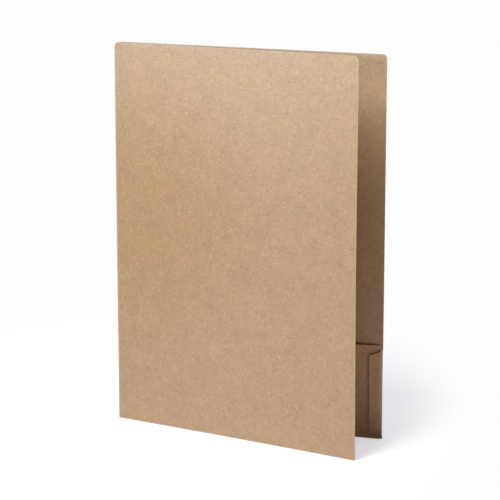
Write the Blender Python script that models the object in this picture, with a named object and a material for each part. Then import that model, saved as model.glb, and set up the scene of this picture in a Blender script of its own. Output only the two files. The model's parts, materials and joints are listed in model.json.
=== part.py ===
"""Card presentation folder for A4 sheets, standing half open on its bottom edges.

One die-cut blank of kraft card, scored and folded into panels: a back cover, a narrow spine
between two creases, a front cover, a pocket panel folded up inside the back cover, and a side
tab folded over the pocket panel. Every panel and every crease is a solid of its own.

Frame: +Z is up along the spine, the back cover lies in the XZ plane, the spine is towards -X
and the front cover opens towards -Y. The origin is the middle of the footprint, on the floor.
"""
import math

import bmesh
import bpy
from mathutils import Vector

# Card stock and the gap that stays between two panels
CARD = 0.0005
SEAM = 0.0003

# Covers
COVER_WIDTH = 0.220
COVER_HEIGHT = 0.310
BACK_TAPER = 0.003
OPENING = math.radians(14.5)
OUTER_CORNER_RADIUS = 0.005
SPINE_CORNER_RADIUS = 0.0025
FOOT_CORNER_RADIUS = 0.0012
FRONT_BOW = 0.0012

# Spine creases
CREASE_RADIUS = 0.0005
CLOSED_CLEARANCE = 0.0005

# Pocket, folded up along the bottom of the back cover
POCKET_HEIGHT = 0.0765
POCKET_SPINE_INSET = 0.012
POCKET_OUTER_INSET = 0.0002
POCKET_FOLD_RADIUS = 0.0004
POCKET_CORNER_RADIUS = 0.008
POCKET_GAPE = 0.0020
POCKET_GAPE_AT_TAB = 0.0006
POCKET_GAPE_RISE = 0.034

# Side tab, folded in from the outer edge of the back cover over the pocket panel
TAB_WIDTH = 0.0107
TAB_TAPER = 0.0006
TAB_FOLD_TOP = 0.072
TAB_FOLD_BOTTOM = 0.003
TAB_TOP_SLANT = 0.0037
TAB_BOTTOM_SLANT = 0.0050
TAB_CORNER_RADIUS = 0.0008
TAB_LIFT = 0.00055

# How finely round and bowed shapes are drawn
CORNER_STEPS = 6
FOLD_STEP = math.radians(12.0)
COVER_STRIPS = 16
POCKET_STRIPS = 10
POCKET_ROWS = 4

# Kraft card, as linear colours
KRAFT_OUTSIDE = (0.500, 0.330, 0.200)
KRAFT_INSIDE = (0.440, 0.285, 0.170)
KRAFT_CREASE = (0.560, 0.385, 0.245)
KRAFT_ROUGHNESS = 0.88

QUARTER_TURN = math.pi / 2
HALF_TURN = math.pi


def pocket_gape(from_outer_edge, share_of_height):
    """Distance that the pocket panel leans off its own fold plane.

    It grows from the fold to the lip, and from the tab side to the open side.
    """
    reach = min(max(from_outer_edge / POCKET_GAPE_RISE, 0.0), 1.0)
    smooth = reach * reach * (3.0 - 2.0 * reach)
    return share_of_height * (POCKET_GAPE_AT_TAB + (POCKET_GAPE - POCKET_GAPE_AT_TAB) * smooth)


# Stack of card inside the closed folder, which sets the folds
FOLDED_GAP = 2.0 * POCKET_FOLD_RADIUS - CARD
PANEL_STACK = FOLDED_GAP + max(POCKET_GAPE, POCKET_GAPE_AT_TAB) + CARD
TAB_STANDOFF = FOLDED_GAP + pocket_gape(TAB_WIDTH, 1.0) + CARD + TAB_LIFT
TAB_FOLD_RADIUS = (TAB_STANDOFF + CARD) / 2.0
TAB_STACK = TAB_STANDOFF + CARD
CLOSED_GAP = FRONT_BOW + max(PANEL_STACK, TAB_STACK) + CLOSED_CLEARANCE
CREASE_SPACING = CLOSED_GAP + CARD - 2.0 * CREASE_RADIUS

# Places that several panels share
TAB_AXIS_X = COVER_WIDTH - TAB_FOLD_RADIUS - CARD / 2.0
POCKET_AXIS_Z = POCKET_FOLD_RADIUS + CARD / 2.0
POCKET_X0 = POCKET_SPINE_INSET
POCKET_X1 = TAB_AXIS_X - POCKET_OUTER_INSET


def clear_scene():
    """Remove every object that the file opened with."""
    for item in list(bpy.data.objects):
        bpy.data.objects.remove(item, do_unlink=True)


def card_material(name, colour):
    """Matt uncoated card in the given linear colour."""
    material = bpy.data.materials.new(name)
    material.use_nodes = True
    shader = material.node_tree.nodes["Principled BSDF"]
    shader.inputs["Base Color"].default_value = (*colour, 1.0)
    shader.inputs["Roughness"].default_value = KRAFT_ROUGHNESS
    shader.inputs["Metallic"].default_value = 0.0
    material.diffuse_color = (*colour, 1.0)
    return material


def axis_empty(name, location, turn, parent):
    """Empty that stands on a crease axis and carries what folds there."""
    empty = bpy.data.objects.new(name, None)
    empty.empty_display_size = 0.01
    empty.location = location
    empty.rotation_euler = (0.0, 0.0, turn)
    empty.parent = parent
    bpy.context.collection.objects.link(empty)
    return empty


def finish_mesh(name, mesh_builder, colour, parent):
    """Turn a bmesh into a named object with its own material."""
    bmesh.ops.recalc_face_normals(mesh_builder, faces=mesh_builder.faces)
    mesh = bpy.data.meshes.new(name)
    mesh_builder.to_mesh(mesh)
    mesh_builder.free()
    mesh.materials.append(card_material(name + "_card", colour))
    panel = bpy.data.objects.new(name, mesh)
    panel.parent = parent
    bpy.context.collection.objects.link(panel)
    return panel


def corner(x, z, radius, first_angle):
    """Points of a square corner rounded about (x, z), clockwise from first_angle."""
    points = []
    for step in range(CORNER_STEPS + 1):
        angle = first_angle - QUARTER_TURN * step / CORNER_STEPS
        points.append((x + radius * math.cos(angle), z + radius * math.sin(angle)))
    return points


def rounded(previous, point, following, radius):
    """Points of an arc of the given radius that rounds off one corner of an outline."""
    here = Vector(point)
    back = (Vector(previous) - here).normalized()
    ahead = (Vector(following) - here).normalized()
    half = back.angle(ahead) / 2.0
    setback = radius / math.tan(half)
    centre = here + (back + ahead).normalized() * (radius / math.sin(half))
    start = here + back * setback - centre
    end = here + ahead * setback - centre
    sweep = HALF_TURN - 2.0 * half
    points = []
    for step in range(CORNER_STEPS + 1):
        share = step / CORNER_STEPS
        spoke = (start * math.sin((1.0 - share) * sweep) + end * math.sin(share * sweep)) / math.sin(sweep)
        points.append(tuple(centre + spoke))
    return points


def cut_at(mesh_builder, axis, place):
    """Cut every face along a plane square to one axis, so that the sheet can bend there."""
    point = Vector((0.0, 0.0, 0.0))
    normal = Vector((0.0, 0.0, 0.0))
    point[axis] = place
    normal[axis] = 1.0
    geometry = mesh_builder.verts[:] + mesh_builder.edges[:] + mesh_builder.faces[:]
    bmesh.ops.bisect_plane(mesh_builder, geom=geometry, dist=1e-7, plane_co=point, plane_no=normal)


def sheet(name, outline, plane_y, colour, parent, columns=(), rows=(), bend=None):
    """Card panel: an outline in X and Z given the card's thickness about the plane y = plane_y.

    columns and rows are the places where the sheet is cut so that it can bend, and
    bend(x, z) is how far a point then moves along Y.
    """
    mesh_builder = bmesh.new()
    corners = [mesh_builder.verts.new((x, plane_y - CARD / 2.0, z)) for x, z in outline]
    face = mesh_builder.faces.new(corners)
    grown = bmesh.ops.extrude_face_region(mesh_builder, geom=[face])["geom"]
    far_side = [item for item in grown if isinstance(item, bmesh.types.BMVert)]
    bmesh.ops.translate(mesh_builder, verts=far_side, vec=(0.0, CARD, 0.0))
    for place in columns:
        cut_at(mesh_builder, 0, place)
    for place in rows:
        cut_at(mesh_builder, 2, place)
    if bend:
        bmesh.ops.triangulate(mesh_builder, faces=mesh_builder.faces[:])
        for vert in mesh_builder.verts:
            vert.co.y += bend(vert.co.x, vert.co.z)
    return finish_mesh(name, mesh_builder, colour, parent)


def fold(name, centre, axis, first_spoke, turn, radius, length, colour, parent):
    """Bent strip of card: a slice of the sheet swept about a crease axis.

    centre is the low end of the axis, first_spoke the direction of the sheet's start from it.
    """
    along = Vector(axis) * length
    spoke = Vector(first_spoke)
    inner = Vector(centre) + spoke * (radius - CARD / 2.0)
    outer = Vector(centre) + spoke * (radius + CARD / 2.0)
    mesh_builder = bmesh.new()
    corners = [mesh_builder.verts.new(point) for point in (inner, outer, outer + along, inner + along)]
    face = mesh_builder.faces.new(corners)
    steps = max(2, round(abs(turn) / FOLD_STEP))
    bmesh.ops.spin(mesh_builder, geom=[face], cent=centre, axis=axis, angle=turn, steps=steps)
    return finish_mesh(name, mesh_builder, colour, parent)


def spaced(low, high, count):
    """Places that divide the span from low to high into count parts, without its ends."""
    return [low + (high - low) * step / count for step in range(1, count)]


def make_back_cover(parent):
    """Flat back cover, cut back where the pocket and the side tab fold off it.

    Its top edge falls a little towards the free edge, so that it stays hidden behind the front cover.
    """
    tab_notch_x = TAB_AXIS_X - SEAM
    pocket_notch_z = POCKET_AXIS_Z + SEAM
    high_spine = (SEAM + SPINE_CORNER_RADIUS, COVER_HEIGHT)
    high_outer = (COVER_WIDTH, COVER_HEIGHT - BACK_TAPER)
    low_outer = (COVER_WIDTH, TAB_FOLD_TOP + SEAM)
    outline = [(SEAM, 0.0)]
    outline += corner(SEAM + SPINE_CORNER_RADIUS, COVER_HEIGHT - SPINE_CORNER_RADIUS,
                      SPINE_CORNER_RADIUS, HALF_TURN)
    outline += rounded(high_spine, high_outer, low_outer, OUTER_CORNER_RADIUS)
    outline += [
        low_outer,
        (tab_notch_x, TAB_FOLD_TOP + SEAM),
        (tab_notch_x, TAB_FOLD_BOTTOM - SEAM),
        (COVER_WIDTH, TAB_FOLD_BOTTOM - SEAM),
    ]
    outline += corner(COVER_WIDTH - FOOT_CORNER_RADIUS, FOOT_CORNER_RADIUS, FOOT_CORNER_RADIUS, 0.0)
    outline += [
        (POCKET_X1 + SEAM, 0.0),
        (POCKET_X1 + SEAM, pocket_notch_z),
        (POCKET_X0 - SEAM, pocket_notch_z),
        (POCKET_X0 - SEAM, 0.0),
    ]
    return sheet("back_cover", outline, 0.0, KRAFT_INSIDE, parent)


def make_spine(parent):
    """Narrow spine between the two creases, drawn as it stands in the closed folder."""
    mesh_builder = bmesh.new()
    near = -SEAM
    far = -CREASE_SPACING + SEAM
    top = COVER_HEIGHT - SPINE_CORNER_RADIUS
    for y, z in ((near, 0.0), (near, top), (far, top), (far, 0.0)):
        mesh_builder.verts.new((-CREASE_RADIUS - CARD / 2.0, y, z))
    face = mesh_builder.faces.new(mesh_builder.verts)
    grown = bmesh.ops.extrude_face_region(mesh_builder, geom=[face])["geom"]
    far_side = [item for item in grown if isinstance(item, bmesh.types.BMVert)]
    bmesh.ops.translate(mesh_builder, verts=far_side, vec=(CARD, 0.0, 0.0))
    return finish_mesh("spine", mesh_builder, KRAFT_OUTSIDE, parent)


def make_front_cover(parent):
    """Front cover with its slight inward bow, drawn as it lies in the closed folder."""
    outline = [(SEAM, 0.0)]
    outline += corner(SEAM + SPINE_CORNER_RADIUS, COVER_HEIGHT - SPINE_CORNER_RADIUS,
                      SPINE_CORNER_RADIUS, HALF_TURN)
    outline += corner(COVER_WIDTH - OUTER_CORNER_RADIUS, COVER_HEIGHT - OUTER_CORNER_RADIUS,
                      OUTER_CORNER_RADIUS, QUARTER_TURN)
    outline += [(COVER_WIDTH, 0.0)]
    columns = spaced(SEAM, COVER_WIDTH, COVER_STRIPS)
    return sheet("front_cover", outline, -CREASE_RADIUS, KRAFT_OUTSIDE, parent, columns,
                 bend=lambda x, z: FRONT_BOW * math.sin(HALF_TURN * x / COVER_WIDTH))


def make_pocket_panel(parent):
    """Pocket panel, folded up along the foot and leaning off the cover towards its open side."""
    foot = POCKET_AXIS_Z + SEAM
    outline = [(POCKET_X0, foot)]
    outline += corner(POCKET_X0 + POCKET_CORNER_RADIUS, POCKET_HEIGHT - POCKET_CORNER_RADIUS,
                      POCKET_CORNER_RADIUS, HALF_TURN)
    outline += [(POCKET_X1, POCKET_HEIGHT), (POCKET_X1, foot)]

    def lean(x, z):
        return -pocket_gape(POCKET_X1 - x, (z - foot) / (POCKET_HEIGHT - foot))

    columns = spaced(POCKET_X1 - POCKET_GAPE_RISE, POCKET_X1, POCKET_STRIPS)
    rows = spaced(foot, POCKET_HEIGHT, POCKET_ROWS)
    return sheet("pocket_panel", outline, -2.0 * POCKET_FOLD_RADIUS, KRAFT_INSIDE, parent, columns, rows, lean)


def make_side_tab(parent):
    """Side tab, a strip with slanted ends, drawn folded over the pocket panel."""
    reach = COVER_WIDTH - TAB_WIDTH - TAB_AXIS_X
    high_fold = (-SEAM, TAB_FOLD_TOP)
    low_fold = (-SEAM, TAB_FOLD_BOTTOM)
    high_free = (reach, TAB_FOLD_TOP - TAB_TOP_SLANT)
    low_free = (reach + TAB_TAPER, TAB_FOLD_BOTTOM + TAB_BOTTOM_SLANT)
    outline = [high_fold, low_fold]
    outline += rounded(low_fold, low_free, high_free, TAB_CORNER_RADIUS)
    outline += rounded(low_free, high_free, high_fold, TAB_CORNER_RADIUS)
    return sheet("side_tab", outline, -TAB_FOLD_RADIUS, KRAFT_INSIDE, parent)


def make_creases(root, spine_axis):
    """Bent strips of card that join the panels, each about its own crease axis."""
    up = (0.0, 0.0, 1.0)
    crease_height = COVER_HEIGHT - SPINE_CORNER_RADIUS
    fold_turn = QUARTER_TURN - OPENING / 2.0
    fold("spine_rear_crease", (0.0, -CREASE_RADIUS, 0.0), up, (0.0, 1.0, 0.0), fold_turn,
         CREASE_RADIUS, crease_height, KRAFT_CREASE, root)
    fold("spine_front_crease", (0.0, -CREASE_SPACING, 0.0), up, (-1.0, 0.0, 0.0), fold_turn,
         CREASE_RADIUS, crease_height, KRAFT_CREASE, spine_axis)
    fold("pocket_crease", (POCKET_X0, -POCKET_FOLD_RADIUS, POCKET_AXIS_Z), (1.0, 0.0, 0.0),
         (0.0, 1.0, 0.0), -HALF_TURN, POCKET_FOLD_RADIUS, POCKET_X1 - POCKET_X0, KRAFT_CREASE, root)
    fold("side_tab_crease", (TAB_AXIS_X, -TAB_FOLD_RADIUS, TAB_FOLD_BOTTOM), up, (0.0, 1.0, 0.0),
         -HALF_TURN, TAB_FOLD_RADIUS, TAB_FOLD_TOP - TAB_FOLD_BOTTOM, KRAFT_CREASE, root)


def centre_on_footprint(root):
    """Move the folder so that the origin is the middle of its footprint."""
    bpy.context.view_layer.update()
    meshes = [item for item in bpy.data.objects if item.type == "MESH"]
    points = [item.matrix_world @ vert.co for item in meshes for vert in item.data.vertices]
    low = Vector([min(point[axis] for point in points) for axis in range(3)])
    high = Vector([max(point[axis] for point in points) for axis in range(3)])
    middle = (low + high) / 2.0
    root.location = (-middle.x, -middle.y, -low.z)
    bpy.context.view_layer.update()


def main():
    """Build the folder, half open as it stands."""
    clear_scene()
    root = axis_empty("folder", (0.0, 0.0, 0.0), 0.0, None)
    rear_axis = axis_empty("rear_crease_axis", (0.0, -CREASE_RADIUS, 0.0), -OPENING / 2.0, root)
    front_axis = axis_empty("front_crease_axis", (0.0, -CREASE_SPACING, 0.0), -OPENING / 2.0, rear_axis)
    tab_axis = axis_empty("tab_crease_axis", (TAB_AXIS_X, -TAB_FOLD_RADIUS, 0.0), 0.0, root)
    make_back_cover(root)
    make_spine(rear_axis)
    make_front_cover(front_axis)
    make_pocket_panel(root)
    make_side_tab(tab_axis)
    make_creases(root, rear_axis)
    centre_on_footprint(root)


main()
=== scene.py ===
"""Looks of a kraft card presentation folder, built round the packed model of it.

The folder is one die-cut blank of card. Each piece of it is drawn flat, in the blank's own coordinates,
with the card's thickness and its rounded cut edges. Geometry Nodes then stand the panels up in their places,
with the bow, curl and lean that they have, and roll the creases about the axes that they fold on.

Blank coordinates: b runs across, from 0 at the rear crease to the outer edge of the back cover, v runs up,
and w runs through the card, towards the inside of the folder.
"""
from __future__ import annotations

import json
import logging
import math
from dataclasses import dataclass, field
from enum import Enum
from functools import reduce
from typing import Callable, Iterable, Mapping, Sequence, Union

import bmesh
import bpy
import numpy as np
from mathutils import Vector
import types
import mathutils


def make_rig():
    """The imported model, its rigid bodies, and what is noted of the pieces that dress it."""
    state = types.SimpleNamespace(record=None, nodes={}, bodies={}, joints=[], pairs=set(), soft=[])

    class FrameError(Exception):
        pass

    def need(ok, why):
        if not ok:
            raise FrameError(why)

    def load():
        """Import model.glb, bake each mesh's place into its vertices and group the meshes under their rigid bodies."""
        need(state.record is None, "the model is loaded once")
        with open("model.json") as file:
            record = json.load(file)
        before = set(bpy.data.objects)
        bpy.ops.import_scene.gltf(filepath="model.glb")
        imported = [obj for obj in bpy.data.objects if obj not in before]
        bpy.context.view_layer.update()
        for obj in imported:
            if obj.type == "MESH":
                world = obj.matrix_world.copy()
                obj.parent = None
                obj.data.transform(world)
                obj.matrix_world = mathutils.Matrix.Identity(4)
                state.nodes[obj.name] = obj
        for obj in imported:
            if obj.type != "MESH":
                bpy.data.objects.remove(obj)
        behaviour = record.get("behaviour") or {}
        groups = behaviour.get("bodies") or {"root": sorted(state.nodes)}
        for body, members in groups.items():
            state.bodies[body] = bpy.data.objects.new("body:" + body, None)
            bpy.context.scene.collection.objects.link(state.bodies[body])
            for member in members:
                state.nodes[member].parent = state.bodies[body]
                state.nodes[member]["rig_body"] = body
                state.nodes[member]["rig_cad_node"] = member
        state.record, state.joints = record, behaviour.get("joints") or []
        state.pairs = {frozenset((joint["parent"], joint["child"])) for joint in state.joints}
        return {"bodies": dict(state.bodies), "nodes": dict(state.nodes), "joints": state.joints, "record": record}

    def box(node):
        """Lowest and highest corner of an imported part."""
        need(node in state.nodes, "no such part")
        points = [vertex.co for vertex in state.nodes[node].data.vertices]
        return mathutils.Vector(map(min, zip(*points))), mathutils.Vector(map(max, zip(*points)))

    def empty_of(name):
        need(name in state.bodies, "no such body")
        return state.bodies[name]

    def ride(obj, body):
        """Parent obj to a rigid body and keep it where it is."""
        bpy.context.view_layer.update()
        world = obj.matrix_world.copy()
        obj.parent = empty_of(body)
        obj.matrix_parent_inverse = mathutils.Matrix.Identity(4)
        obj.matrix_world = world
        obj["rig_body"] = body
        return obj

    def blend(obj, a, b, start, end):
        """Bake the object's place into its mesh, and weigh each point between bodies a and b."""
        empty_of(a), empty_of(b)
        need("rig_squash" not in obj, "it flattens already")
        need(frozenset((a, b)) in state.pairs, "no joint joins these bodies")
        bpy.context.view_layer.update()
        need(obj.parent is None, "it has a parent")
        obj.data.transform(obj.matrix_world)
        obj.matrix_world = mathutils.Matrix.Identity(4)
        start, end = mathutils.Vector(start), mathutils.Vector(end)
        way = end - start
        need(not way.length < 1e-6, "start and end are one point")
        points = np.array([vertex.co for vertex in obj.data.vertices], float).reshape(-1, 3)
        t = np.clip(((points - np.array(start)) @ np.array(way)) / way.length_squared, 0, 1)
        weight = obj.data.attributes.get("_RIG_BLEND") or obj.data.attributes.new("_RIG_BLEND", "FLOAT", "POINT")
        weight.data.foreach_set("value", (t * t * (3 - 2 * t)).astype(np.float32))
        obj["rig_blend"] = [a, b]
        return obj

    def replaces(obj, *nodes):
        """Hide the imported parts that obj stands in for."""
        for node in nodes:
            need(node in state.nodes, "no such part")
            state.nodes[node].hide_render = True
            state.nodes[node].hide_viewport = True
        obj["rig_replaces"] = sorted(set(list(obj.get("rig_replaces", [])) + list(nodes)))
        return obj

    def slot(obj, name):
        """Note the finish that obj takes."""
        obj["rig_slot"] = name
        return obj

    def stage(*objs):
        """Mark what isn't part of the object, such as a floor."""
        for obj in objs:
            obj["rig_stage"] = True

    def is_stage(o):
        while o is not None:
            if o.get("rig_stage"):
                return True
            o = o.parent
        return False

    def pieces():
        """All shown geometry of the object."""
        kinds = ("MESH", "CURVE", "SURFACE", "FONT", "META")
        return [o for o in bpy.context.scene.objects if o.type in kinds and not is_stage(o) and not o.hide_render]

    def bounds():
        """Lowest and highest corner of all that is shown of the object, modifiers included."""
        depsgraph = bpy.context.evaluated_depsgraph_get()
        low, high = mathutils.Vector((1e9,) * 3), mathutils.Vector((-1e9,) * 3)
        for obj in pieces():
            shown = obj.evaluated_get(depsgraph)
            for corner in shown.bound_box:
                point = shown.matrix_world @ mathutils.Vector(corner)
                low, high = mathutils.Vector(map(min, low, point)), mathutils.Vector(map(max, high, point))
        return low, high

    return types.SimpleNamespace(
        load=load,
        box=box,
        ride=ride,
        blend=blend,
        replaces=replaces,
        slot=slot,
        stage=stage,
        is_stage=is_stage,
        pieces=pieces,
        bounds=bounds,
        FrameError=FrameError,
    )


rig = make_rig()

LOG = logging.getLogger("folder")
SIZE_FILE = "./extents.json"

Colour = tuple[float, float, float]
Place = tuple[float, float, float]
Point = tuple[float, float]
Edge = tuple[Point, Point]
Span = tuple[float, float]
Socket = Union["Value", float, int, bool, str, tuple, bpy.types.ID]

UP = Vector((0.0, 0.0, 1.0))
RIGHT = Vector((1.0, 0.0, 0.0))
REARWARDS = Vector((0.0, 1.0, 0.0))
BLANK_B = Vector((1.0, 0.0, 0.0))
BLANK_V = Vector((0.0, 1.0, 0.0))

# Middle of what a noise gives, and of a cell's chances, which run from 0 to 1.
MIDDLE = 0.5

# Names of the attributes that a flat piece's mesh carries.
PLACE = "blank_place"
RIM = "rim_distance"
FOLD = "fold_distance"
SIDE = "card_side"


class Side(Enum):
    """Sides of a piece of card, each with the number that its faces carry."""

    OUTSIDE = 0
    INSIDE = 1
    CUT_EDGE = 2


class Slot(Enum):
    """Material slots of the packed record."""

    CARD = "kraft_card"
    CREASE = "kraft_crease"


def math_method(operation: str, meaning: str, reflected: bool = False) -> Callable[..., "Value"]:
    """Make a method of Value that adds one Math node.

    Args:
        operation: The node's operation.
        meaning: What the method gives.
        reflected: Whether the other value stands first.

    Returns:
        The method.
    """
    def method(value: "Value", other: Socket = 0.0) -> "Value":
        """Add the node."""
        pair = (other, value) if reflected else (value, other)
        return value.net.add("ShaderNodeMath", {"operation": operation}, dict(enumerate(pair)))[0]

    method.__doc__ = meaning
    return method


class Value:
    """Output of a node. Arithmetic on it adds Math nodes."""

    __add__ = math_method("ADD", "Sum.")
    __radd__ = math_method("ADD", "Sum, with the number first.", reflected=True)
    __sub__ = math_method("SUBTRACT", "Difference.")
    __rsub__ = math_method("SUBTRACT", "Difference, with the number first.", reflected=True)
    __mul__ = math_method("MULTIPLY", "Product.")
    __rmul__ = math_method("MULTIPLY", "Product, with the number first.", reflected=True)
    __truediv__ = math_method("DIVIDE", "Quotient.")
    __rtruediv__ = math_method("DIVIDE", "Quotient, with the number first.", reflected=True)
    larger = math_method("MAXIMUM", "The larger of two values.")
    size = math_method("ABSOLUTE", "The value without its sign.")
    sine = math_method("SINE", "Sine of an angle in radians.")
    cosine = math_method("COSINE", "Cosine of an angle in radians.")

    def __init__(self, net: "Net", socket: bpy.types.NodeSocket) -> None:
        """Wrap one output socket.

        Args:
            net: The net that the socket belongs to.
            socket: The output socket.
        """
        self.net = net
        self.socket = socket

    def step(self, low: Socket, high: Socket) -> "Value":
        """Smooth step from 0 at low to 1 at high."""
        inputs = {"Value": self, "From Min": low, "From Max": high}
        return self.net.add("ShaderNodeMapRange", {"interpolation_type": "SMOOTHSTEP"}, inputs)[0]


class Outputs:
    """Outputs of one node, found by name, identifier or number."""

    def __init__(self, net: "Net", node: bpy.types.Node) -> None:
        """Wrap a node.

        Args:
            net: The net that the node belongs to.
            node: The node.
        """
        self.net = net
        self.node = node

    def __getitem__(self, key: Union[str, int]) -> Value:
        """One output."""
        return Value(self.net, find_socket(self.node.outputs, key))


def find_socket(sockets: bpy.types.NodeInputs, key: Union[str, int]) -> bpy.types.NodeSocket:
    """Find a socket of a node.

    Args:
        sockets: The node's inputs or outputs.
        key: Identifier, name or number of the socket.

    Returns:
        The socket.
    """
    if isinstance(key, int):
        return sockets[key]
    for socket in sockets:
        if socket.identifier == key:
            return socket
    return sockets[key]


class Net:
    """Node tree that is being built, of a material, a world or a geometry."""

    def __init__(self, tree: bpy.types.NodeTree) -> None:
        """Wrap a node tree.

        Args:
            tree: The tree to add nodes to.
        """
        self.tree = tree

    def add(self, kind: str, settings: Mapping[str, object] | None = None,
            inputs: Mapping[Union[str, int], Socket] | None = None) -> Outputs:
        """Add a node.

        Args:
            kind: Type name of the node.
            settings: Its properties, such as a Math node's operation, which are set first.
            inputs: Numbers, colours or other nodes' outputs, by socket.

        Returns:
            The node's outputs.
        """
        node = self.tree.nodes.new(kind)
        for name, setting in (settings or {}).items():
            setattr(node, name, setting)
        self.feed(node, inputs or {})
        return Outputs(self, node)

    def feed(self, node: bpy.types.Node, inputs: Mapping[Union[str, int], Socket]) -> None:
        """Set or link the inputs of a node.

        Args:
            node: The node.
            inputs: Numbers, colours or other nodes' outputs, by socket.
        """
        for key, given in inputs.items():
            socket = find_socket(node.inputs, key)
            if isinstance(given, Value):
                self.tree.links.new(given.socket, socket)
            else:
                socket.default_value = given

    def vector(self, operation: str, first: Socket, second: Socket) -> Value:
        """Add a Vector Math node that gives a vector."""
        return self.add("ShaderNodeVectorMath", {"operation": operation}, {0: first, 1: second})[0]

    def measure(self, operation: str, first: Socket, second: Socket) -> Value:
        """Add a Vector Math node that gives a number, such as a distance or a dot product."""
        return self.add("ShaderNodeVectorMath", {"operation": operation}, {0: first, 1: second})["Value"]

    def scaled(self, vector: Socket, factor: Socket) -> Value:
        """Vector or colour times a number."""
        return self.add("ShaderNodeVectorMath", {"operation": "SCALE"}, {0: vector, "Scale": factor})[0]

    def mixed(self, factor: Socket, first: Socket, second: Socket) -> Value:
        """Colour between two colours."""
        inputs = {"Factor_Float": factor, "A_Color": first, "B_Color": second}
        return self.add("ShaderNodeMix", {"data_type": "RGBA"}, inputs)["Result_Color"]

    def split(self, vector: Socket) -> Outputs:
        """Parts of a vector, as X, Y and Z."""
        return self.add("ShaderNodeSeparateXYZ", {}, {0: vector})

    def attribute(self, name: str, output: str = "Fac") -> Value:
        """What an attribute of the mesh holds."""
        return self.add("ShaderNodeAttribute", {"attribute_name": name})[output]

    def cells(self, place: Value, size: float) -> tuple[Outputs, Outputs]:
        """Cells of a flat pattern.

        Args:
            place: Where the pattern is read, in metres.
            size: Size of its cells, in metres.

        Returns:
            The cells' outputs, and the three chances that each cell draws, as Red, Green and Blue.
        """
        inputs = {"Vector": place, "Scale": 1.0 / size}
        cells = self.add("ShaderNodeTexVoronoi", {"voronoi_dimensions": "2D"}, inputs)
        return cells, self.add("ShaderNodeSeparateColor", {}, {0: cells["Color"]})

    def noise(self, place: Value, size: Union[Value, float], detail: float, roughness: float = 0.5) -> Value:
        """Add a noise whose features have the given size.

        Args:
            place: Where the noise is read, in metres.
            size: Size of its features, in metres.
            detail: Number of finer layers.
            roughness: Strength of each finer layer.

        Returns:
            The noise, from 0 to 1.
        """
        inputs = {"Vector": place, "Scale": 1.0 / size, "Detail": detail, "Roughness": roughness}
        return self.add("ShaderNodeTexNoise", {}, inputs)[0]


def rgba(colour: Colour) -> tuple[float, float, float, float]:
    """Opaque colour with four channels."""
    return (*colour, 1.0)


def new_material(name: str) -> tuple[bpy.types.Material, Net]:
    """Start a material.

    Args:
        name: Its name.

    Returns:
        The material, and the net of its nodes.
    """
    material = bpy.data.materials.new(name)
    material.use_nodes = True
    return material, Net(material.node_tree)


def add_object(name: str, data: bpy.types.ID, place: Place = (0.0, 0.0, 0.0),
               facing: Vector | None = None) -> bpy.types.Object:
    """Add an object to the scene.

    Args:
        name: Its name.
        data: Its mesh, light or camera.
        place: Where it stands.
        facing: Direction that a lamp shines or a camera looks in.

    Returns:
        The object.
    """
    item = bpy.data.objects.new(name, data)
    item.location = place
    if facing is not None:
        item.rotation_mode = "QUATERNION"
        item.rotation_quaternion = facing.to_track_quat("-Z", "Y")
    bpy.context.scene.collection.objects.link(item)
    return item


@dataclass(frozen=True)
class Tone:
    """Unevenness of the board: the size of its features in metres, its strength and its finer layers."""

    size: float
    strength: float
    detail: float = 2.0
    roughness: float = 0.5

    def read(self, net: Net, place: Value) -> Value:
        """The noise that it is made of, at a place."""
        return net.noise(place, self.size, self.detail, self.roughness)


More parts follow.
